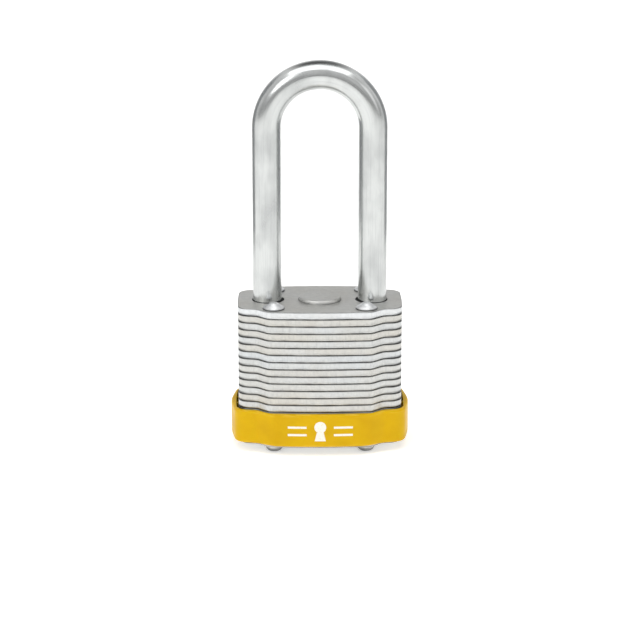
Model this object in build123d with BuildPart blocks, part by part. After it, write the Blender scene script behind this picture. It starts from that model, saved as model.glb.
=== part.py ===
from build123d import *
from math import cos, radians, sin
import os

os.makedirs("parts", exist_ok=True)

# Laminated steel padlock, millimetres. Origin under the rivet heads, +Z towards the shackle,
# X across the width, -Y the front. It is drawn locked.

# how far a cut runs past the surface it opens
cut_margin = 1.0

# plate stack
plate_thickness = 1.8
plate_count = 19
stack_bottom = 1.8
stack_top = stack_bottom + plate_count * plate_thickness
plate_upper_round = 0.15
plate_lower_round = 0.45
body_outline = [
    ((0, -12.65), 100),
    ((12.4, -11.94), 2.5),
    ((15.3, -9.15), 2.5),
    ((19.8, -8.5), 3.0),
    ((20.05, 0), 100),
]
boss_base_radius = 5.3
boss_top_radius = 5.0
boss_height = 0.85
boss_round = 0.3

# rivets through the stack
rivet_x = 11.2
rivet_y = 8.3
rivet_radius = 1.7
rivet_hole_radius = 1.75
rivet_top_head_radius = 2.65
rivet_top_rim_height = 0.3
rivet_top_rim_round = 0.2
rivet_top_tip_radius = 0.7
rivet_top_head_height = 1.6
rivet_top_tip_round = 1.4
rivet_bottom_head_radius = 2.1
rivet_bottom_head_round = 1.2

# shackle
shackle_radius = 3.5
leg_x = 12.8
arc_centre_z = stack_top + 42.7
toe_end_z = 22.5
toe_chamfer = 0.6
heel_end_z = 14.3
leg_hole_radius = 3.65
leg_mouth_radius = 3.95
leg_mouth_x = 12.6
heel_cavity_radius = 4.15
shackle_lift = 14.0

# retaining ring on the heel leg
ring_groove_bottom = 15.5
ring_groove_height = 0.8
ring_groove_radius = 2.9
ring_radius = 4.0
ring_thickness = 0.6
ring_gap = 3.4

# locking bolts and the scroll plate that draws them in
turn_angle = 90.0
bolt_travel = 4.8
bolt_bottom = 27.1
bolt_height = 3.4
bolt_width = 5.0
bolt_tip_x = 10.3
bolt_inner_x = 5.4
bolt_channel_width = 5.2
bolt_tip_chamfer = 0.3
bolt_pin_x = 7.0
bolt_pin_radius = 0.8
bolt_pin_length = 1.6
spring_pocket_radius = 1.3
spring_pocket_depth = 2.6
notch_floor_x = 10.5
notch_clearance_above = 0.3
notch_clearance_below = 0.15
notch_mouth_margin = 0.3
driver_radius = 8.3
driver_bottom = 25.3
driver_thickness = 1.6
driver_cavity_radius = 8.45
scroll_slot_half_width = 0.92
hub_radius = 3.0
hub_bottom = 23.05
hub_hole_radius = 3.2
tang_length = 5.0
tang_width = 1.6
tang_top = 24.7
tang_slot_clearance = 0.1

# lock cylinder
shell_bottom = 3.65
shell_top = 21.55
shell_radius = 6.0
shell_opening_radius = 6.1
chamber_half_width = 2.2
chamber_top_y = 9.8
chamber_cap_thickness = 0.5
chamber_cap_margin = 1.2
chamber_opening_margin = 0.1
bore_radius = 4.45
plug_radius = 4.4
plug_nose_radius = 4.0
plug_nose_hole_radius = 4.1
plug_nose_bottom = 2.1
plug_shoulder = 3.7
plug_top = 22.9
clip_groove_bottom = 21.7
clip_groove_height = 0.6
clip_groove_radius = 3.6
clip_radius = 5.2
clip_thickness = 0.5
clip_gap = 4.0
clip_opening_radius = 5.5
keyway_width = 2.1
keyway_low_y = -3.4
keyway_high_y = 3.0
keyway_top = 20.6
ward_depth = 0.8
ward_height = 0.8
left_ward_y = -1.48
right_ward_y = 0.44

# pin stacks, standing as the right key would set them
pin_levels = [7.0, 10.2, 13.4, 16.6]
pin_hole_radius = 1.2
pin_radius = 1.1
pin_tip_chamfer = 0.55
key_pin_low_y = [1.6, 0.9, 2.0, 1.3]
key_pin_top_y = 4.2
driver_pin_low_y = 4.55
driver_pin_top_y = 7.3
pin_spring_top_y = 9.7

# springs: coil radius, wire radius, turns
shackle_spring_size = (2.6, 0.35, 8)
bolt_spring_size = (0.95, 0.16, 13)
pin_spring_size = (0.75, 0.13, 6)
shackle_spring_bottom = 5.8

# moulded bumper round the lower plates
bumper_bottom = 2.4
bumper_top = 10.6
bumper_round = 0.55
bumper_outer = [
    ((0, -13.95), 100),
    ((11.3, -13.15), 6.0),
    ((15.6, -10.55), 3.5),
    ((20.6, -9.5), 3.4),
    ((22.1, 0), 25),
]
bumper_inner = [
    ((0, -12.72), 100),
    ((12.44, -12.0), 2.5),
    ((15.36, -9.22), 2.5),
    ((20.35, -8.6), 3.2),
    ((20.62, 0), 60),
]
rib_width = 1.2
rib_inner_x = 20.08
rib_outer_x = 21.0
rib_levels_y = [-4.5, 0, 4.5]
rib_bottom_gap = 1.0

# mark printed into the bumper face: a keyhole between two pairs of short rules
mark_thickness = 0.1
mark_z = 6.5
mark_ring_radius = 1.45
mark_ring_raise = 1.0
mark_skirt_top = 0.55
mark_skirt_foot = 1.35
mark_skirt_drop = 2.5
mark_rule_length = 4.6
mark_rule_height = 0.55
mark_rule_x = 5.6
mark_rule_spread = 0.95


def save(part, name):
    part.label = name
    export_step(part, f"parts/{name}.step")


def full_outline(quarter):
    """Mirror a quarter outline (front middle to end middle) into a closed one with its corner radii."""
    right_front = list(quarter)
    right_back = [((x, -y), r) for (x, y), r in reversed(quarter[:-1])]
    right = right_front + right_back
    left = [((-x, y), r) for (x, y), r in reversed(right[1:-1])]
    loop = right + left
    points = [point for point, radius in loop]
    corner_radii = [radius for point, radius in loop]
    return points, corner_radii


def plate_bottom(number):
    return stack_bottom + (number - 1) * plate_thickness


# ---------------------------------------------------------------- laminated plates
def nose_opening():
    Circle(plug_nose_hole_radius)


def cylinder_opening():
    Circle(shell_opening_radius)
    reach = chamber_top_y + chamber_cap_thickness + chamber_opening_margin
    with Locations((0, reach / 2)):
        Rectangle(2 * (chamber_half_width + chamber_opening_margin), reach)


def clip_opening():
    Circle(clip_opening_radius)


def hub_opening():
    Circle(hub_hole_radius)


def driver_opening():
    Circle(driver_cavity_radius)


def bolt_channel():
    Rectangle(2 * leg_x, bolt_channel_width)


def heel_cavity():
    with Locations((-leg_x, 0)):
        Circle(heel_cavity_radius)


def heel_hole():
    with Locations((-leg_x, 0)):
        Circle(leg_hole_radius)


def toe_hole():
    with Locations((leg_x, 0)):
        Circle(leg_hole_radius)


def leg_mouths():
    with Locations((-leg_mouth_x, 0), (leg_mouth_x, 0)):
        Circle(leg_mouth_radius)


def openings_of(number):
    if number == 1:
        return [nose_opening]
    if number == 2:
        return [cylinder_opening]
    if number <= 11:
        return [cylinder_opening, heel_cavity]
    if number == 12:
        return [clip_opening, heel_cavity, toe_hole]
    if number == 13:
        return [hub_opening, heel_cavity, toe_hole]
    if number == 14:
        return [driver_opening, heel_cavity, toe_hole]
    if number <= 16:
        return [bolt_channel, heel_cavity, toe_hole]
    if number < plate_count:
        return [heel_hole, toe_hole]
    return [leg_mouths]


rivet_positions = [(-rivet_x, -rivet_y), (rivet_x, -rivet_y), (-rivet_x, rivet_y), (rivet_x, rivet_y)]
body_points, body_radii = full_outline(body_outline)

for number in range(1, plate_count + 1):
    with BuildPart() as plate:
        with BuildSketch(Plane.XY.offset(plate_bottom(number))):
            with BuildLine():
                FilletPolyline(*body_points, radius=body_radii, close=True)
            make_face()
        extrude(amount=plate_thickness)
        # the punch rolls one edge over and leaves the other nearly sharp
        fillet(plate.edges().group_by(Axis.Z)[0], radius=plate_lower_round)
        fillet(plate.edges().group_by(Axis.Z)[-1], radius=plate_upper_round)
        with BuildSketch(Plane.XY.offset(plate_bottom(number))):
            with Locations(rivet_positions):
                Circle(rivet_hole_radius)
            for opening in openings_of(number):
                opening()
        extrude(amount=plate_thickness, mode=Mode.SUBTRACT)
        if number == plate_count:
            # coined boss in the middle of the top plate
            with BuildSketch(Plane.XY.offset(stack_top)):
                Circle(boss_base_radius)
            with BuildSketch(Plane.XY.offset(stack_top + boss_height)):
                Circle(boss_top_radius)
            loft()
            fillet(plate.edges().group_by(Axis.Z)[-1], radius=boss_round)
    save(plate.part, f"plate_{number:02d}")

# ---------------------------------------------------------------- rivets
rivet_names = ["front_left", "front_right", "back_left", "back_right"]
for spot, place in zip(rivet_positions, rivet_names):
    with BuildPart() as rivet:
        with BuildSketch(Plane.XY.offset(stack_bottom)):
            with Locations(spot):
                Circle(rivet_bottom_head_radius)
        extrude(amount=-stack_bottom)
        with BuildSketch(Plane.XY.offset(stack_top)):
            with Locations(spot):
                Circle(rivet_top_head_radius)
        extrude(amount=rivet_top_rim_height)
        # the upper head is spun into a low cone
        with BuildSketch(Plane.XY.offset(stack_top + rivet_top_rim_height)):
            with Locations(spot):
                Circle(rivet_top_head_radius)
        with BuildSketch(Plane.XY.offset(stack_top + rivet_top_head_height)):
            with Locations(spot):
                Circle(rivet_top_tip_radius)
        loft()
        fillet(rivet.edges().group_by(Axis.Z)[0], radius=rivet_bottom_head_round)
        fillet(rivet.edges().filter_by(GeomType.CIRCLE).sort_by(Axis.Z)[-2], radius=rivet_top_rim_round)
        fillet(rivet.edges().filter_by(GeomType.CIRCLE).sort_by(Axis.Z)[-1], radius=rivet_top_tip_round)
        with BuildSketch(Plane.XY.offset(stack_bottom)):
            with Locations(spot):
                Circle(rivet_radius)
        extrude(amount=stack_top - stack_bottom)
    save(rivet.part, f"rivet_{place}")

# ---------------------------------------------------------------- shackle
slope = shackle_lift / bolt_travel
notch_top = bolt_bottom + bolt_height + notch_clearance_above
notch_low = bolt_bottom - notch_clearance_below
notch_mouth_x = leg_x - shackle_radius - notch_mouth_margin
notch_mouth_low = notch_low - slope * (notch_floor_x - notch_mouth_x)

with BuildPart() as shackle:
    with BuildLine():
        Line((-leg_x, 0, heel_end_z), (-leg_x, 0, arc_centre_z))
        ThreePointArc(
            (-leg_x, 0, arc_centre_z),
            (0, 0, arc_centre_z + leg_x),
            (leg_x, 0, arc_centre_z),
        )
        Line((leg_x, 0, arc_centre_z), (leg_x, 0, toe_end_z))
    with BuildSketch(Plane.XY.offset(heel_end_z)):
        with Locations((-leg_x, 0)):
            Circle(shackle_radius)
    sweep()
    leg_ends = shackle.edges().filter_by(GeomType.CIRCLE).sort_by(Axis.Z)
    chamfer(leg_ends[0], length=toe_chamfer)
    toe_rim = shackle.faces().filter_by(Axis.Z).sort_by(Axis.X)[-1].edges()
    chamfer(toe_rim, length=toe_chamfer)
    # notches that the bolts lock into, one on the inner side of each leg
    with BuildSketch(Plane.XZ):
        for side in (-1, 1):
            with BuildLine():
                Polyline(
                    (side * notch_mouth_x, notch_top),
                    (side * notch_floor_x, notch_top),
                    (side * notch_floor_x, notch_low),
                    (side * notch_mouth_x, notch_mouth_low),
                    close=True,
                )
            make_face()
    extrude(amount=2 * shackle_radius, both=True, mode=Mode.SUBTRACT)
    # groove for the retaining ring round the heel leg
    with BuildSketch(Plane.XY.offset(ring_groove_bottom)):
        with Locations((-leg_x, 0)):
            Circle(shackle_radius + cut_margin)
            Circle(ring_groove_radius, mode=Mode.SUBTRACT)
    extrude(amount=ring_groove_height, mode=Mode.SUBTRACT)
save(shackle.part, "shackle")

ring_bottom = ring_groove_bottom + (ring_groove_height - ring_thickness) / 2
with BuildPart() as shackle_ring:
    with BuildSketch(Plane.XY.offset(ring_bottom)):
        with Locations((-leg_x, 0)):
            Circle(ring_radius)
            Circle(ring_groove_radius, mode=Mode.SUBTRACT)
        with Locations((-leg_x - ring_radius, 0)):
            Rectangle(2 * ring_radius, ring_gap, mode=Mode.SUBTRACT)
    extrude(amount=ring_thickness)
save(shackle_ring.part, "shackle_retaining_ring")

# ---------------------------------------------------------------- lock cylinder
with BuildPart() as shell:
    with BuildSketch(Plane.XY.offset(shell_bottom)):
        Circle(shell_radius)
        with Locations((0, chamber_top_y / 2)):
            Rectangle(2 * chamber_half_width, chamber_top_y)
        Circle(bore_radius, mode=Mode.SUBTRACT)
    extrude(amount=shell_top - shell_bottom)
    with BuildSketch(Plane.XZ.offset(-chamber_top_y)):
        with Locations([(0, level) for level in pin_levels]):
            Circle(pin_hole_radius)
    extrude(amount=chamber_top_y - bore_radius + cut_margin, mode=Mode.SUBTRACT)
save(shell.part, "cylinder_shell")

with BuildPart() as chamber_cap:
    cap_low = pin_levels[0] - pin_hole_radius - chamber_cap_margin
    cap_high = pin_levels[-1] + pin_hole_radius + chamber_cap_margin
    with BuildSketch(Plane.XZ.offset(-chamber_top_y - chamber_cap_thickness)):
        with Locations((0, (cap_low + cap_high) / 2)):
            Rectangle(2 * chamber_half_width, cap_high - cap_low)
    extrude(amount=chamber_cap_thickness)
save(chamber_cap.part, "chamber_cap")

with BuildPart() as plug:
    with BuildSketch(Plane.XY.offset(plug_nose_bottom)):
        Circle(plug_nose_radius)
    extrude(amount=plug_shoulder - plug_nose_bottom)
    with BuildSketch(Plane.XY.offset(plug_shoulder)):
        Circle(plug_radius)
    extrude(amount=plug_top - plug_shoulder)
    with BuildSketch(Plane.XY.offset(plug_top)):
        Rectangle(tang_length, tang_width)
    extrude(amount=tang_top - plug_top)
    with BuildSketch(Plane.XY.offset(clip_groove_bottom)):
        Circle(plug_radius + cut_margin)
        Circle(clip_groove_radius, mode=Mode.SUBTRACT)
    extrude(amount=clip_groove_height, mode=Mode.SUBTRACT)
    # keyway with one ward rib on each side
    with BuildSketch(Plane.XY.offset(plug_nose_bottom)):
        with Locations((0, (keyway_low_y + keyway_high_y) / 2)):
            Rectangle(keyway_width, keyway_high_y - keyway_low_y)
        with Locations((-keyway_width / 2, left_ward_y)):
            Rectangle(2 * ward_depth, ward_height, mode=Mode.SUBTRACT)
        with Locations((keyway_width / 2, right_ward_y)):
            Rectangle(2 * ward_depth, ward_height, mode=Mode.SUBTRACT)
    extrude(amount=keyway_top - plug_nose_bottom, mode=Mode.SUBTRACT)
    with BuildSketch(Plane.XZ.offset(-plug_radius)):
        with Locations([(0, level) for level in pin_levels]):
            Circle(pin_hole_radius)
    extrude(amount=plug_radius, mode=Mode.SUBTRACT)
save(plug.part, "plug")

clip_bottom = clip_groove_bottom + (clip_groove_height - clip_thickness) / 2
with BuildPart() as plug_clip:
    with BuildSketch(Plane.XY.offset(clip_bottom)):
        Circle(clip_radius)
        Circle(clip_groove_radius, mode=Mode.SUBTRACT)
        with Locations((clip_radius, 0)):
            Rectangle(2 * clip_radius, clip_gap, mode=Mode.SUBTRACT)
    extrude(amount=clip_thickness)
save(plug_clip.part, "plug_clip")

with BuildPart() as key_pins:
    for level, low_y in zip(pin_levels, key_pin_low_y):
        with BuildSketch(Plane.XZ.offset(-key_pin_top_y)):
            with Locations((0, level)):
                Circle(pin_radius)
        extrude(amount=key_pin_top_y - low_y)
    for level in range(len(pin_levels)):
        tip = key_pins.solids().sort_by(Axis.Z)[level].faces().sort_by(Axis.Y)[0]
        chamfer(tip.edges(), length=pin_tip_chamfer)
save(key_pins.part, "key_pins")

with BuildPart() as driver_pins:
    with BuildSketch(Plane.XZ.offset(-driver_pin_top_y)):
        with Locations([(0, level) for level in pin_levels]):
            Circle(pin_radius)
    extrude(amount=driver_pin_top_y - driver_pin_low_y)
save(driver_pins.part, "driver_pins")

with BuildPart() as pin_springs:
    coil_radius, wire_radius, turns = pin_spring_size
    spring_low = driver_pin_top_y + 2 * wire_radius
    spring_length = pin_spring_top_y - wire_radius - spring_low
    for level in pin_levels:
        with BuildLine() as coil:
            Helix(
                pitch=spring_length / turns,
                height=spring_length,
                radius=coil_radius,
                center=(0, spring_low, level),
                direction=(0, 1, 0),
            )
        with BuildSketch(Plane(origin=coil.line @ 0, z_dir=coil.line % 0)):
            Circle(wire_radius)
        sweep(path=coil.line, is_frenet=True)
save(pin_springs.part, "pin_springs")


# ---------------------------------------------------------------- scroll plate and bolts
def scroll_point(angle, shift):
    """Point on a scroll slot: the pin's path seen from the turning plate, moved sideways by shift."""
    rate = bolt_travel / radians(turn_angle)
    radius = bolt_pin_x - rate * angle
    x = radius * cos(angle)
    y = -radius * sin(angle)
    tangent_x = -rate * cos(angle) - radius * sin(angle)
    tangent_y = rate * sin(angle) - radius * cos(angle)
    length = (tangent_x**2 + tangent_y**2) ** 0.5
    return (x - shift * tangent_y / length, y + shift * tangent_x / length)


def scroll_end(angle, direction):
    """Outermost point of a slot's round end."""
    centre = scroll_point(angle, 0)
    side = scroll_point(angle, scroll_slot_half_width)
    normal_x = side[0] - centre[0]
    normal_y = side[1] - centre[1]
    return (centre[0] + direction * normal_y, centre[1] - direction * normal_x)


slot_steps = 12
slot_angles = [radians(turn_angle) * step / slot_steps for step in range(slot_steps + 1)]

with BuildPart() as driver:
    with BuildSketch(Plane.XY.offset(hub_bottom)):
        Circle(hub_radius)
    extrude(amount=driver_bottom - hub_bottom)
    with BuildSketch(Plane.XY.offset(driver_bottom)):
        Circle(driver_radius)
    extrude(amount=driver_thickness)
    with BuildSketch(Plane.XY.offset(hub_bottom)):
        Rectangle(tang_length + 2 * tang_slot_clearance, tang_width + 2 * tang_slot_clearance)
    extrude(amount=tang_top + tang_slot_clearance - hub_bottom, mode=Mode.SUBTRACT)
    with BuildSketch(Plane.XY.offset(driver_bottom)):
        with BuildLine():
            Spline(*[scroll_point(angle, scroll_slot_half_width) for angle in slot_angles])
            ThreePointArc(
                scroll_point(slot_angles[-1], scroll_slot_half_width),
                scroll_end(slot_angles[-1], 1),
                scroll_point(slot_angles[-1], -scroll_slot_half_width),
            )
            Spline(*[scroll_point(angle, -scroll_slot_half_width) for angle in reversed(slot_angles)])
            ThreePointArc(
                scroll_point(slot_angles[0], -scroll_slot_half_width),
                scroll_end(slot_angles[0], -1),
                scroll_point(slot_angles[0], scroll_slot_half_width),
            )
        slot_face = make_face()
        add(slot_face, rotation=180)
    extrude(amount=driver_thickness, mode=Mode.SUBTRACT)
save(driver.part, "driver_scroll")

bolt_middle_z = bolt_bottom + bolt_height / 2
for side, name in ((-1, "bolt_left"), (1, "bolt_right")):
    with BuildPart() as bolt:
        with BuildSketch(Plane.XY.offset(bolt_bottom)):
            with Locations((side * (bolt_inner_x + bolt_tip_x) / 2, 0)):
                Rectangle(bolt_tip_x - bolt_inner_x, bolt_width)
        extrude(amount=bolt_height)
        tip_edges = bolt.edges().filter_by(Axis.Z).sort_by(Axis.X)
        tip_pair = tip_edges[:2] if side < 0 else tip_edges[-2:]
        chamfer(tip_pair, length=bolt_tip_chamfer)
        with BuildSketch(Plane.XY.offset(bolt_bottom)):
            with Locations((side * bolt_pin_x, 0)):
                Circle(bolt_pin_radius)
        extrude(amount=-bolt_pin_length)
        with BuildSketch(Plane.YZ.offset(side * bolt_inner_x)):
            with Locations((0, bolt_middle_z)):
                Circle(spring_pocket_radius)
        extrude(amount=side * spring_pocket_depth, mode=Mode.SUBTRACT)
    save(bolt.part, name)

with BuildPart() as bolt_spring:
    coil_radius, wire_radius, turns = bolt_spring_size
    half_length = bolt_inner_x + spring_pocket_depth - 2 * wire_radius
    with BuildLine() as coil:
        Helix(
            pitch=2 * half_length / turns,
            height=2 * half_length,
            radius=coil_radius,
            center=(-half_length, 0, bolt_middle_z),
            direction=(1, 0, 0),
        )
    with BuildSketch(Plane(origin=coil.line @ 0, z_dir=coil.line % 0)):
        Circle(wire_radius)
    sweep(path=coil.line, is_frenet=True)
save(bolt_spring.part, "bolt_spring")

with BuildPart() as shackle_spring:
    coil_radius, wire_radius, turns = shackle_spring_size
    spring_length = heel_end_z - 2 * wire_radius - shackle_spring_bottom
    with BuildLine() as coil:
        Helix(
            pitch=spring_length / turns,
            height=spring_length,
            radius=coil_radius,
            center=(-leg_x, 0, shackle_spring_bottom),
        )
    with BuildSketch(Plane(origin=coil.line @ 0, z_dir=coil.line % 0)):
        Circle(wire_radius)
    sweep(path=coil.line, is_frenet=True)
save(shackle_spring.part, "shackle_spring")

# ---------------------------------------------------------------- bumper and its printed mark
outer_points, outer_radii = full_outline(bumper_outer)
inner_points, inner_radii = full_outline(bumper_inner)

with BuildPart() as bumper_mark:
    with BuildSketch(Plane.XY.offset(bumper_bottom)):
        with BuildLine():
            FilletPolyline(*outer_points, radius=outer_radii, close=True)
        make_face()
        offset(amount=-mark_thickness, mode=Mode.SUBTRACT)
    extrude(amount=bumper_top - bumper_bottom)
    with BuildSketch(Plane.XZ):
        with Locations((0, mark_z + mark_ring_raise)):
            Circle(mark_ring_radius)
        with BuildLine():
            Polyline(
                (-mark_skirt_top, mark_z + mark_ring_raise),
                (mark_skirt_top, mark_z + mark_ring_raise),
                (mark_skirt_foot, mark_z - mark_skirt_drop),
                (-mark_skirt_foot, mark_z - mark_skirt_drop),
                close=True,
            )
        make_face()
        for side in (-1, 1):
            for row in (-1, 1):
                with Locations((side * mark_rule_x, mark_z + row * mark_rule_spread)):
                    Rectangle(mark_rule_length, mark_rule_height)
    extrude(amount=2 * leg_x, mode=Mode.INTERSECT)
save(bumper_mark.part, "bumper_mark")

with BuildPart() as bumper:
    with BuildSketch(Plane.XY.offset(bumper_bottom)):
        with BuildLine():
            FilletPolyline(*outer_points, radius=outer_radii, close=True)
        make_face()
    extrude(amount=bumper_top - bumper_bottom)
    rims = bumper.edges().group_by(Axis.Z)[0] + bumper.edges().group_by(Axis.Z)[-1]
    fillet(rims, radius=bumper_round)
    with BuildSketch(Plane.XY.offset(bumper_bottom)):
        with BuildLine():
            FilletPolyline(*inner_points, radius=inner_radii, close=True)
        make_face()
    extrude(amount=bumper_top - bumper_bottom, mode=Mode.SUBTRACT)
    # ribs that centre the bumper on the ends of the plates
    with BuildSketch(Plane.XY.offset(bumper_bottom + rib_bottom_gap)):
        for side in (-1, 1):
            with Locations([(side * (rib_inner_x + rib_outer_x) / 2, y) for y in rib_levels_y]):
                Rectangle(rib_outer_x - rib_inner_x, rib_width)
    extrude(amount=bumper_top - bumper_bottom - 2 * rib_bottom_gap)
    add(bumper_mark.part, mode=Mode.SUBTRACT)
save(bumper.part, "bumper")
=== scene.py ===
import math

import bpy
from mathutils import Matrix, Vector


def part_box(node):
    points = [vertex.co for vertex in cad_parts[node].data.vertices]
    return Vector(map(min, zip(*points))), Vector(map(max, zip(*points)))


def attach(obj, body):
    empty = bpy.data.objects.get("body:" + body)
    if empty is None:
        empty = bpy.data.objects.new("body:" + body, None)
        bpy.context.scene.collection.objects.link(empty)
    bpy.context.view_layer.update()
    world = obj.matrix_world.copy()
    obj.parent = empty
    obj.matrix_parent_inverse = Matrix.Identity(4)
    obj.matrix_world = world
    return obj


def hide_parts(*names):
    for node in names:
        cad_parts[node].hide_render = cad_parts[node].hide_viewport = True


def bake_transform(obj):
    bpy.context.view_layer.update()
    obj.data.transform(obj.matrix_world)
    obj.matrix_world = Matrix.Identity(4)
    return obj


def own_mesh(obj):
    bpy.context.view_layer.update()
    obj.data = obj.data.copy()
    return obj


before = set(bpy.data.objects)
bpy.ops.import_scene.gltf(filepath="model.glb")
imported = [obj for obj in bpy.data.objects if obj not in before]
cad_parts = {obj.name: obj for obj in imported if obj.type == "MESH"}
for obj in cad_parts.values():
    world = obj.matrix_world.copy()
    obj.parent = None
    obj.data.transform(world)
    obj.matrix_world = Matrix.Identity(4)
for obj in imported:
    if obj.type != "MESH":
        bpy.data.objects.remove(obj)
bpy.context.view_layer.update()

# ---- Studio -------------------------------------------------------------------------------
# A white acrylic table, lit a little from below so that it stays plain, under a wide overhead
# softbox with a smaller one at each front corner. The room has a dark gap high up behind the
# table, and two grey flags give the bright metal an edge to reflect.
scene = bpy.context.scene


def linear(colour):
    """The linear RGBA of an sRGB hex colour."""
    parts = [int(colour[i : i + 2], 16) / 255 for i in (0, 2, 4)]
    return [c / 12.92 if c <= 0.04045 else ((c + 0.055) / 1.055) ** 2.4 for c in parts] + [1.0]


def new_material(name):
    """An empty material and its node tree."""
    made = bpy.data.materials.new(name)
    made.use_nodes = True
    made.node_tree.nodes.clear()
    return made, made.node_tree


def add_node(tree, kind, sockets=(), output=0, **settings):
    """Adds a node and returns one output of it. Sockets are values or links, by name or in order."""
    node = tree.nodes.new("ShaderNode" + kind)
    for name, value in settings.items():
        setattr(node, name, value)
    if not isinstance(sockets, dict):
        sockets = dict(enumerate(sockets))
    for key, value in sockets.items():
        if isinstance(value, bpy.types.NodeSocket):
            tree.links.new(value, node.inputs[key])
        else:
            node.inputs[key].default_value = value
    return node.outputs[output] if node.outputs else None


def flat_sheet(name, width, depth):
    """A flat sheet, centred on its own origin and facing +Z."""
    mesh = bpy.data.meshes.new(name)
    x, y = width / 2, depth / 2
    mesh.from_pydata([(-x, -y, 0), (x, -y, 0), (x, y, 0), (-x, y, 0)], [], [(0, 1, 2, 3)])
    made = bpy.data.objects.new(name, mesh)
    scene.collection.objects.link(made)
    return made


def aim(thing, place, target):
    """Puts a light, camera or sheet at place with its -Z axis towards target."""
    thing.location = place
    thing.rotation_euler = (Vector(target) - Vector(place)).to_track_quat("-Z", "Y").to_euler()


table_acrylic, tree = new_material("lit_white_acrylic")
patch_width = 0.25
spots = add_node(tree, "TexNoise", {"Scale": 1 / patch_width, "Detail": 3.0})
tone = add_node(tree, "ValToRGB", [spots])
tone.node.color_ramp.elements[0].color = linear("f6f6f5")
tone.node.color_ramp.elements[1].color = linear("fcfcfb")
surface = add_node(
    tree,
    "BsdfPrincipled",
    {"Base Color": tone, "Roughness": 0.8, "Emission Color": tone, "Emission Strength": 0.42},
)
add_node(tree, "OutputMaterial", {"Surface": surface})
table_side = 12.0
table_top = flat_sheet("table_top", table_side, table_side)
table_top.data.materials.append(table_acrylic)

world = bpy.data.worlds.new("studio_room")
world.use_nodes = True
tree = world.node_tree
tree.nodes.clear()
direction = add_node(tree, "TexCoord", output="Generated")
sideways = add_node(tree, "SeparateXYZ", [direction], "X")
backwards = add_node(tree, "SeparateXYZ", [direction], "Y")
upwards = add_node(tree, "SeparateXYZ", [direction], "Z")
front_wall = add_node(tree, "MapRange", [upwards, 0.1, 0.4, 0.42, 0.74])
ceiling_gap = add_node(tree, "MapRange", [upwards, 0.4, 0.7, 0.85, 0.12])
off_centre = add_node(tree, "Math", [sideways], operation="ABSOLUTE")
to_side = add_node(tree, "MapRange", [off_centre, 0.25, 0.5])
back_wall = add_node(tree, "Mix", {"Factor": to_side, "A": ceiling_gap, "B": 0.95})
to_back = add_node(tree, "MapRange", [backwards, -0.25, 0.2])
walls = add_node(tree, "Mix", {"Factor": to_back, "A": front_wall, "B": back_wall})
room = add_node(tree, "Background", {"Color": walls, "Strength": 1.0})
add_node(tree, "OutputWorld", {"Surface": room})
scene.world = world

lock_middle = (0, 0, 0.045)
for name, place, target, width, depth, power in (
    ("overhead_softbox", (0.0, -0.2, 0.7), (0.0, -0.2, 0.0), 0.85, 0.55, 2.4),
    ("key_softbox", (-0.6, -0.65, 0.65), lock_middle, 0.4, 0.4, 1.7),
    ("right_softbox", (0.8, -0.45, 0.4), lock_middle, 0.3, 0.5, 0.25),
):
    lamp = bpy.data.lights.new(name, "AREA")
    lamp.shape = "RECTANGLE"
    lamp.size = width
    lamp.size_y = depth
    lamp.energy = power
    softbox = bpy.data.objects.new(name, lamp)
    scene.collection.objects.link(softbox)
    aim(softbox, place, target)

flag_cloth, tree = new_material("grey_flag_cloth")
threads_per_metre = 900.0
weave = add_node(tree, "TexNoise", {"Scale": threads_per_metre})
surface = add_node(tree, "BsdfDiffuse", {"Color": linear("a4a6a8"), "Roughness": weave})
add_node(tree, "OutputMaterial", {"Surface": surface})
flag_height = 0.1
for name, x in (("flag_left", -0.11), ("flag_right", 0.11)):
    flag = flat_sheet(name, 0.09, 0.16)
    flag.data.materials.append(flag_cloth)
    aim(flag, (x, 0.07, flag_height), (0, 0, flag_height))
    flag.visible_camera = False
    flag.visible_diffuse = False
    flag.visible_shadow = False

camera = bpy.data.objects.new("camera", bpy.data.cameras.new("camera"))
scene.collection.objects.link(camera)
scene.camera = camera
turned = math.radians(-0.564)
raised = math.radians(16.056)
distance = 0.6
away = Vector((
    math.sin(turned) * math.cos(raised),
    -math.cos(turned) * math.cos(raised),
    math.sin(raised),
))
view_centre = Vector((0, 0, 0.0307))
aim(camera, view_centre + away * distance, view_centre)
camera.data.sensor_width = 36.0
camera.data.lens = 137.74
camera.data.shift_x = 0.0004
camera.data.clip_start = 0.01
scene.view_settings.view_transform = "Standard"


# ---- Laminated plates ---------------------------------------------------------------------
# Eighteen plates stamped from 1.8 mm steel strip and zinc plated, stacked and riveted. The press
# leaves each edge smooth above and torn below, and no two batches of strip have the same tone.
def marks_of(x, y, z):
    """The scale of a pattern whose marks are the given number of millimetres long on each axis."""
    return (1000 / x, 1000 / y, 1000 / z)


lamination_count = 18
last_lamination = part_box(f"plate_{lamination_count:02d}")[1]
stack_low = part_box("plate_01")[0].z
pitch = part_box("plate_02")[0].z - stack_low
stack_high = last_lamination.z + pitch
half_width = last_lamination.x
bumper_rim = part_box("bumper")[1].z
# the colour of the painted shade in the seams, and how far the painted shadow along the bumper's rim
# reaches
rim_shade_height = 0.0006
seam_shade_colour = "242527"
smear_shift = 7.3


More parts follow.
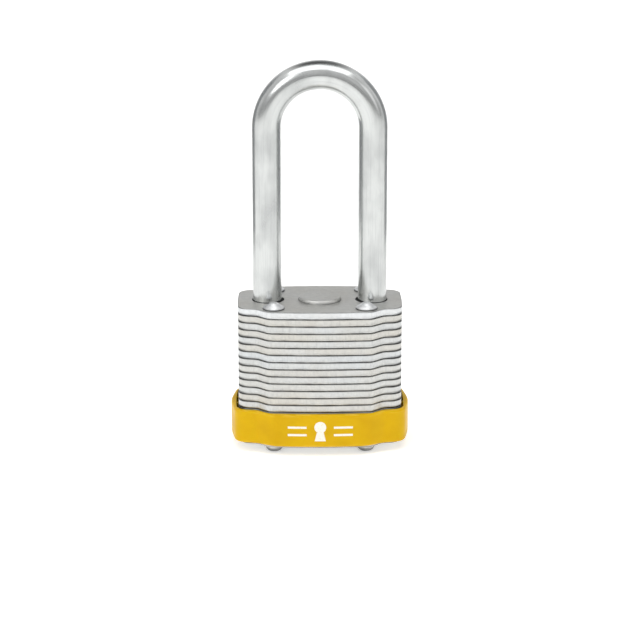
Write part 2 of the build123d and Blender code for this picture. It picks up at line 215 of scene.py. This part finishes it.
def zinc_plated_steel(name, cool, warm, shade, roughness, grain):
    """Zinc over stamped steel, clear and reflecting. Grain is the size in millimetres of its marks."""
    made, tree = new_material(name)
    place = add_node(tree, "TexCoord", output="Object")
    normal = add_node(tree, "TexCoord", output="Normal")
    across = add_node(tree, "SeparateXYZ", [place], "X")
    height = add_node(tree, "SeparateXYZ", [place], "Z")
    facing_up = add_node(tree, "SeparateXYZ", [normal], "Z")

    # the number of the plate, and how far up its own edge the point is
    up_stack = add_node(tree, "Math", [height, stack_low], operation="SUBTRACT")
    level = add_node(tree, "Math", [up_stack, pitch], operation="DIVIDE")
    number = add_node(tree, "Math", [level, 0.001], operation="ADD")
    number = add_node(tree, "Math", [number], operation="FLOOR")
    within = add_node(tree, "Math", [level], operation="FRACT")

    # the tone of the batch, smears that start afresh on each plate, marks along the grain, and crystals
    batch = add_node(tree, "TexWhiteNoise", {"W": number}, noise_dimensions="1D")
    shift = add_node(tree, "Math", [number, smear_shift], operation="MULTIPLY")
    own_spot = add_node(tree, "CombineXYZ", {"Z": shift})
    smear_place = add_node(tree, "VectorMath", [place, marks_of(9, 9, 9)], operation="MULTIPLY")
    smear_place = add_node(tree, "VectorMath", [smear_place, own_spot], operation="ADD")
    smear = add_node(tree, "TexNoise", {"Vector": smear_place, "Scale": 1.0, "Detail": 3.0})
    mark_place = add_node(tree, "VectorMath", [place, marks_of(*grain)], operation="MULTIPLY")
    marks = add_node(tree, "TexNoise", {"Vector": mark_place, "Scale": 1.0, "Detail": 4.0})
    crystal_place = add_node(tree, "VectorMath", [place, marks_of(0.7, 0.7, 0.7)], operation="MULTIPLY")
    crystals = add_node(tree, "TexVoronoi", {"Vector": crystal_place, "Scale": 1.0}, "Color")
    crystal_tone = add_node(tree, "SeparateColor", [crystals])

    batch_share = add_node(tree, "Math", [batch, 0.5], operation="MULTIPLY")
    warmth = add_node(tree, "Math", [smear, 0.6, batch_share], operation="MULTIPLY_ADD")
    warmth = add_node(tree, "MapRange", [warmth, 0.25, 0.85])
    # a colour Mix has its factor at input 0, its colours at inputs 6 and 7, and its result at output 2
    colour = add_node(tree, "Mix", {0: warmth, 6: linear(cool), 7: linear(warm)}, 2, data_type="RGBA")
    marked = add_node(tree, "MapRange", [marks, 0.5, 0.8, 0.0, 0.22])
    colour = add_node(tree, "Mix", {0: marked, 6: colour, 7: linear(shade)}, 2, data_type="RGBA")
    speckled = add_node(tree, "Math", [crystal_tone, 0.12], operation="MULTIPLY")
    colour = add_node(tree, "Mix", {0: speckled, 6: colour, 7: linear(shade)}, 2, data_type="RGBA")

    # painted shade darkens the seams, most towards the ends of the stack, standing in for the shade and
    # dark reflections deep in the gaps between plates
    from_middle = add_node(tree, "Math", [across], operation="ABSOLUTE")
    towards_end = add_node(tree, "MapRange", [from_middle, half_width * 0.7, half_width])
    drift_place = add_node(tree, "VectorMath", [place, marks_of(4, 4, 0.9)], operation="MULTIPLY")
    drift = add_node(tree, "TexNoise", {"Vector": drift_place, "Scale": 1.0, "Detail": 2.0})
    reach = add_node(tree, "MapRange", [drift, 0.35, 0.65, 0.2, 0.32])
    reach = add_node(tree, "Math", [towards_end, 0.16, reach], operation="MULTIPLY_ADD")
    solid_shade = add_node(tree, "Math", [towards_end, 0.17], operation="MULTIPLY")
    above_seam = add_node(tree, "MapRange", [within, solid_shade, reach, 1.0, 0.0])
    below_seam = add_node(tree, "MapRange", [within, 0.88, 1.0])
    seam = add_node(tree, "Math", [above_seam, below_seam], operation="MAXIMUM")
    flatness = add_node(tree, "Math", [facing_up], operation="ABSOLUTE")
    on_edge = add_node(tree, "MapRange", [flatness, 0.995, 0.985])
    seam = add_node(tree, "Math", [seam, on_edge], operation="MULTIPLY")
    seam_strength = add_node(tree, "MapRange", [drift, 0.3, 0.7, 0.5, 0.9])
    seam_strength = add_node(tree, "Math", [seam_strength, towards_end], operation="MAXIMUM")
    seam = add_node(tree, "Math", [seam, seam_strength], operation="MULTIPLY")

    # a painted shadow also lies along the rim of the bumper, in the gap between plate and rim
    over_rim = add_node(tree, "Math", [height, bumper_rim], operation="SUBTRACT")
    from_rim = add_node(tree, "Math", [over_rim], operation="ABSOLUTE")
    near_rim = add_node(tree, "MapRange", [from_rim, 0.0, rim_shade_height, 1.0, 0.0])
    rim_strength = add_node(tree, "Math", [towards_end, 0.3, 0.6], operation="MULTIPLY_ADD")
    rim_shadow = add_node(tree, "Math", [near_rim, rim_strength], operation="MULTIPLY")
    painted_shade = add_node(tree, "Math", [seam, rim_shadow], operation="MAXIMUM")
    colour = add_node(tree, "Mix", {0: painted_shade, 6: colour, 7: linear(seam_shade_colour)}, 2, data_type="RGBA")

    # the lower part of each edge is torn, so it is rougher
    torn = add_node(tree, "MapRange", [within, 0.42, 0.3])
    torn = add_node(tree, "Math", [torn, on_edge], operation="MULTIPLY")
    matt = add_node(tree, "Math", [smear, 0.16, roughness], operation="MULTIPLY_ADD")
    matt = add_node(tree, "Math", [torn, 0.1, matt], operation="MULTIPLY_ADD")
    matt = add_node(tree, "Math", [batch, 0.08, matt], operation="MULTIPLY_ADD")
    depth = add_node(tree, "Math", [torn, 0.8, 0.6], operation="MULTIPLY_ADD")
    ripple = add_node(tree, "Math", [marks, depth], operation="MULTIPLY")
    bump = add_node(tree, "Bump", {"Height": ripple, "Strength": 0.35, "Distance": 0.00012})
    surface = add_node(
        tree,
        "BsdfPrincipled",
        {"Base Color": colour, "Metallic": 1.0, "Roughness": matt, "Normal": bump},
    )
    add_node(tree, "OutputMaterial", {"Surface": surface})
    return made


def finish_node(name, material):
    """A CAD node keeps its shape and takes a finish."""
    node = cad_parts[name]
    node.data.materials.clear()
    node.data.materials.append(material)


lamination_steel = zinc_plated_steel(
    "zinc_plated_stamped_edge",
    cool="c9cdd0",
    warm="cbc8c0",
    shade="808285",
    roughness=0.26,
    grain=(0.4, 0.4, 1.6),
)
for number in range(1, lamination_count + 1):
    finish_node(f"plate_{number:02d}", lamination_steel)

# ---- Top plate ----------------------------------------------------------------------------
# The last plate, from the same strip but seen on its rolled face: a dull even grey with fine
# rolling lines across the width, and a low boss coined in the middle.
top_steel = zinc_plated_steel(
    "zinc_plated_rolled_face",
    cool="dcdedf",
    warm="d2d1cc",
    shade="8b8e90",
    roughness=0.34,
    grain=(2.5, 0.35, 2.5),
)
finish_node("plate_19", top_steel)

# ---- Rivets -------------------------------------------------------------------------------
# Four soft steel rivets. The upper ends were spun down into low bright cones with small dents, and a
# painted shadow darkens the corner where each meets the plate. The lower heads are darkened with painted
# shade.
rivet_steel, tree = new_material("peened_rivet_steel")
place = add_node(tree, "TexCoord", output="Object")
height = add_node(tree, "SeparateXYZ", [place], "Z")
dent_place = add_node(tree, "VectorMath", [place, marks_of(0.9, 0.9, 0.9)], operation="MULTIPLY")
dents = add_node(tree, "TexVoronoi", {"Vector": dent_place, "Scale": 1.0}, "Distance", feature="SMOOTH_F1")
stain_place = add_node(tree, "VectorMath", [place, marks_of(1.6, 1.6, 1.6)], operation="MULTIPLY")
stain = add_node(tree, "TexNoise", {"Vector": stain_place, "Scale": 1.0, "Detail": 5.0})
stained = add_node(tree, "MapRange", [stain, 0.35, 0.7])
colour = add_node(tree, "Mix", {0: stained, 6: linear("eeefef"), 7: linear("bcbebf")}, 2, data_type="RGBA")
# painted shade darkens the lower heads, under the bottom plate
painted_under_shade = add_node(tree, "MapRange", [height, stack_low - 0.0003, stack_low - 0.0009, 0.0, 0.75])
colour = add_node(tree, "Mix", {0: painted_under_shade, 6: colour, 7: linear("5c5d5e")}, 2, data_type="RGBA")
# a painted shadow darkens the corner where each cone meets the plate
below_cone = add_node(tree, "MapRange", [height, stack_high + 0.00015, stack_high + 0.00045, 0.9, 0.0])
above_shank = add_node(tree, "MapRange", [height, stack_high - 0.002, stack_high - 0.001])
painted_corner_shadow = add_node(tree, "Math", [below_cone, above_shank], operation="MULTIPLY")
colour = add_node(tree, "Mix", {0: painted_corner_shadow, 6: colour, 7: linear("2a2b2d")}, 2, data_type="RGBA")
matt = add_node(tree, "MapRange", [stain, 0.3, 0.7, 0.42, 0.56])
bump = add_node(tree, "Bump", {"Height": dents, "Strength": 0.2, "Distance": 0.0001})
surface = add_node(
    tree, "BsdfPrincipled", {"Base Color": colour, "Metallic": 1.0, "Roughness": matt, "Normal": bump}
)
add_node(tree, "OutputMaterial", {"Surface": surface})
for corner in ("front_left", "front_right", "back_left", "back_right"):
    finish_node(f"rivet_{corner}", rivet_steel)

# ---- Shackle ------------------------------------------------------------------------------
# One drawn round bar, bent hot and plated with nickel and chrome over a satin polish. The belt
# ran along the bar, so its lines follow the legs and the bend. They are drawn coarser than real
# ones, so that they show.
leg_low, leg_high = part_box("shackle")
bar_radius = (leg_high.y - leg_low.y) / 2
bend_radius = leg_high.x - bar_radius
bend_centre = leg_high.z - bar_radius - bend_radius
line_width = 0.00035
line_length = 0.014

shackle_chrome, tree = new_material("satin_chrome_plated_bar")
place = add_node(tree, "TexCoord", output="Object")
across = add_node(tree, "SeparateXYZ", [place], "X")
front = add_node(tree, "SeparateXYZ", [place], "Y")
height = add_node(tree, "SeparateXYZ", [place], "Z")

# the bar's own coordinates: the angle round it, and the distance along it and round the bend
from_centre = add_node(tree, "Math", [height, bend_centre], operation="SUBTRACT")
over_bend = add_node(tree, "Math", [from_centre, 0.0], operation="MAXIMUM")
straight = add_node(tree, "Math", [from_centre, 0.0], operation="MINIMUM")
across_squared = add_node(tree, "Math", [across, across], operation="MULTIPLY")
over_squared = add_node(tree, "Math", [over_bend, over_bend], operation="MULTIPLY")
squares = add_node(tree, "Math", [across_squared, over_squared], operation="ADD")
reach = add_node(tree, "Math", [squares], operation="SQRT")
outward = add_node(tree, "Math", [reach, bend_radius], operation="SUBTRACT")
around = add_node(tree, "Math", [front, outward], operation="ARCTAN2")
bend_angle = add_node(tree, "Math", [over_bend, across], operation="ARCTAN2")
along = add_node(tree, "Math", [bend_angle, bend_radius, straight], operation="MULTIPLY_ADD")
lines_around = add_node(tree, "Math", [around, bar_radius / line_width], operation="MULTIPLY")
lines_along = add_node(tree, "Math", [along, 1 / line_length], operation="MULTIPLY")
bar_place = add_node(tree, "CombineXYZ", [lines_around, lines_along])

belt_lines = add_node(tree, "TexNoise", {"Vector": bar_place, "Scale": 1.0, "Detail": 4.0})
haze_place = add_node(tree, "VectorMath", [place, marks_of(6, 6, 11)], operation="MULTIPLY")
haze = add_node(tree, "TexNoise", {"Vector": haze_place, "Scale": 1.0, "Detail": 4.0})
hazy = add_node(tree, "MapRange", [haze, 0.4, 0.75])
colour = add_node(tree, "Mix", {0: hazy, 6: linear("c7c9c8"), 7: linear("acaeae")}, 2, data_type="RGBA")
lined = add_node(tree, "MapRange", [belt_lines, 0.5, 0.8, 0.0, 0.4])
colour = add_node(tree, "Mix", {0: lined, 6: colour, 7: linear("9a9c9d")}, 2, data_type="RGBA")
matt = add_node(tree, "MapRange", [haze, 0.3, 0.75, 0.17, 0.3])
bump = add_node(tree, "Bump", {"Height": belt_lines, "Strength": 0.16, "Distance": 0.0001})
surface = add_node(
    tree, "BsdfPrincipled", {"Base Color": colour, "Metallic": 1.0, "Roughness": matt, "Normal": bump}
)
add_node(tree, "OutputMaterial", {"Surface": surface})
finish_node("shackle", shackle_chrome)

# ---- Bumper -------------------------------------------------------------------------------
# A ring of yellow PVC, injection moulded and stretched over the lower plates. Its skin has the
# fine grain of the mould and picks up scuffs along both rims.
rim_low, rim_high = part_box("bumper")
half_height = (rim_high.z - rim_low.z) / 2
rim_middle = (rim_high.z + rim_low.z) / 2

bumper_pvc, tree = new_material("moulded_yellow_pvc")
place = add_node(tree, "TexCoord", output="Object")
height = add_node(tree, "SeparateXYZ", [place], "Z")
grain_place = add_node(tree, "VectorMath", [place, marks_of(0.45, 0.45, 0.45)], operation="MULTIPLY")
grain = add_node(tree, "TexNoise", {"Vector": grain_place, "Scale": 1.0, "Detail": 3.0})
cloud_place = add_node(tree, "VectorMath", [place, marks_of(7, 7, 4)], operation="MULTIPLY")
cloud = add_node(tree, "TexNoise", {"Vector": cloud_place, "Scale": 1.0, "Detail": 3.0})
scratch_place = add_node(tree, "VectorMath", [place, marks_of(2.4, 2.4, 0.3)], operation="MULTIPLY")
scratch = add_node(tree, "TexNoise", {"Vector": scratch_place, "Scale": 1.0, "Detail": 5.0})
scratched = add_node(tree, "MapRange", [scratch, 0.5, 0.62])
from_middle = add_node(tree, "Math", [height, rim_middle], operation="SUBTRACT")
off_middle = add_node(tree, "Math", [from_middle], operation="ABSOLUTE")
at_rim = add_node(tree, "MapRange", [off_middle, half_height * 0.8, half_height])
scuffed = add_node(tree, "Math", [at_rim, scratched], operation="MULTIPLY")
clouded = add_node(tree, "MapRange", [cloud, 0.35, 0.7])
colour = add_node(tree, "Mix", {0: clouded, 6: linear("d4aa00"), 7: linear("cba000")}, 2, data_type="RGBA")
scuff_tone = add_node(tree, "Math", [scuffed, 0.55], operation="MULTIPLY")
colour = add_node(tree, "Mix", {0: scuff_tone, 6: colour, 7: linear("e2c04a")}, 2, data_type="RGBA")
matt = add_node(tree, "MapRange", [cloud, 0.3, 0.7, 0.34, 0.46])
matt = add_node(tree, "Math", [scuffed, 0.2, matt], operation="MULTIPLY_ADD")
bump = add_node(tree, "Bump", {"Height": grain, "Strength": 0.25, "Distance": 0.00008})
surface = add_node(
    tree,
    "BsdfPrincipled",
    {
        "Base Color": colour,
        "Roughness": matt,
        "IOR": 1.53,
        "Specular IOR Level": 0.12,
        "Subsurface Weight": 0.08,
        "Subsurface Scale": 0.001,
        "Normal": bump,
    },
)
add_node(tree, "OutputMaterial", {"Surface": surface})
finish_node("bumper", bumper_pvc)

# ---- Printed mark -------------------------------------------------------------------------
# A plain keyhole between short rules, pad printed in white ink. The ink is a little uneven and
# shows pinholes where it missed the grain.
print_ink, tree = new_material("white_pad_print_ink")
place = add_node(tree, "TexCoord", output="Object")
pinhole_place = add_node(tree, "VectorMath", [place, marks_of(0.3, 0.3, 0.3)], operation="MULTIPLY")
pinholes = add_node(tree, "TexNoise", {"Vector": pinhole_place, "Scale": 1.0, "Detail": 2.0})
missed = add_node(tree, "MapRange", [pinholes, 0.6, 0.75])
colour = add_node(tree, "Mix", {0: missed, 6: linear("ebe8df"), 7: linear("dcc67a")}, 2, data_type="RGBA")
matt = add_node(tree, "MapRange", [pinholes, 0.3, 0.7, 0.4, 0.55])
bump = add_node(tree, "Bump", {"Height": pinholes, "Strength": 0.2, "Distance": 0.00005})
surface = add_node(tree, "BsdfPrincipled", {"Base Color": colour, "Roughness": matt, "Normal": bump})
add_node(tree, "OutputMaterial", {"Surface": surface})
finish_node("bumper_mark", print_ink)


# ---- Cylinder -----------------------------------------------------------------------------
# Shell, cap, plug and pins turned from free-cutting brass bar. The tool leaves fine rings round
# the plug's axis, and tarnish dulls the brass in patches.
def turned_metal(name, light, dark, roughness):
    """Metal cut on a lathe about the vertical axis, with rings a third of a millimetre apart."""
    made, tree = new_material(name)
    place = add_node(tree, "TexCoord", output="Object")
    ring_place = add_node(tree, "VectorMath", [place, marks_of(1, 1, 1)], operation="MULTIPLY")
    rings = add_node(
        tree,
        "TexWave",
        {"Vector": ring_place, "Scale": 0.95, "Distortion": 0.6, "Detail": 2.0},
        "Fac",
        wave_type="RINGS",
        rings_direction="Z",
    )
    tarnish_place = add_node(tree, "VectorMath", [place, marks_of(2, 2, 2)], operation="MULTIPLY")
    tarnish = add_node(tree, "TexNoise", {"Vector": tarnish_place, "Scale": 1.0, "Detail": 5.0})
    tarnished = add_node(tree, "MapRange", [tarnish, 0.35, 0.75])
    colour = add_node(tree, "Mix", {0: tarnished, 6: linear(light), 7: linear(dark)}, 2, data_type="RGBA")
    matt = add_node(tree, "MapRange", [tarnish, 0.3, 0.7, roughness, roughness + 0.15])
    bump = add_node(tree, "Bump", {"Height": rings, "Strength": 0.2, "Distance": 0.00006})
    surface = add_node(
        tree,
        "BsdfPrincipled",
        {"Base Color": colour, "Metallic": 1.0, "Roughness": matt, "Normal": bump},
    )
    add_node(tree, "OutputMaterial", {"Surface": surface})
    return made


turned_brass = turned_metal("turned_brass", "d9bd7c", "a98a4c", 0.25)
for name in ("cylinder_shell", "chamber_cap", "plug", "key_pins", "driver_pins"):
    finish_node(name, turned_brass)

# ---- Locking parts ------------------------------------------------------------------------
# Scroll plate, two bolts and both clips in hardened steel, faced in the lathe and left oiled. With
# no plating they are darker than the pieces outside.
oiled_steel = turned_metal("oiled_hardened_steel", "8f9192", "5f6163", 0.32)
for name in ("driver_scroll", "bolt_left", "bolt_right", "plug_clip", "shackle_retaining_ring"):
    finish_node(name, oiled_steel)


# ---- Springs ------------------------------------------------------------------------------
# Coils of drawn wire, wound cold and greyed by heat, with fine die marks and closed end turns. One
# stretches under the heel of the shackle, one shortens between the bolts, four press on the pins.
def coil_spring(name, low, high, axis, wire, turns):
    """A coil that fills the box from low to high along one axis, in wire of the given diameter."""
    centre = (low + high) / 2
    across = ((axis + 1) % 3, (axis + 2) % 3)
    length = high[axis] - low[axis] - wire
    coil_radius = (high[across[0]] - low[across[0]] - wire) / 2
    steps_in_turn = 20
    sides = 10
    points = []
    faces = []
    for step in range(turns * steps_in_turn + 1):
        turn = step / steps_in_turn
        if turn < 1:
            rise = wire * turn
        elif turn > turns - 1:
            rise = length - wire * (turns - turn)
        else:
            rise = wire + (length - 2 * wire) * (turn - 1) / (turns - 2)
        for side in range(sides):
            round_wire = 2 * math.pi * side / sides
            reach = coil_radius + wire / 2 * math.cos(round_wire)
            point = Vector()
            point[axis] = low[axis] + wire / 2 + rise + wire / 2 * math.sin(round_wire)
            point[across[0]] = centre[across[0]] + reach * math.cos(2 * math.pi * turn)
            point[across[1]] = centre[across[1]] + reach * math.sin(2 * math.pi * turn)
            points.append(point)
    for start in range(0, len(points) - sides, sides):
        for side in range(sides):
            beside = (side + 1) % sides
            faces.append((start + side, start + sides + side, start + sides + beside, start + beside))
    faces.append(tuple(range(sides)))
    faces.append(tuple(range(len(points) - 1, len(points) - sides - 1, -1)))
    mesh = bpy.data.meshes.new(name)
    mesh.from_pydata(points, [], faces)
    mesh.shade_smooth()
    mesh.materials.append(spring_wire)
    coil = bpy.data.objects.new(name, mesh)
    scene.collection.objects.link(coil)
    return coil


spring_wire = turned_metal("drawn_spring_wire", "a3a4a6", "6c6e70", 0.28)
finish_node("pin_springs", spring_wire)

heel_low, heel_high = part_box("shackle_spring")
heel_coil = coil_spring("heel_coil_spring", heel_low, heel_high, axis=2, wire=0.0007, turns=9)
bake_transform(heel_coil)
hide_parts("shackle_spring")

bolts_low, bolts_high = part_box("bolt_spring")
bolt_coil = coil_spring("bolt_coil_spring", bolts_low, bolts_high, axis=0, wire=0.00032, turns=13)
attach(bolt_coil, "lock_body")
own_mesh(bolt_coil)
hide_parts("bolt_spring")
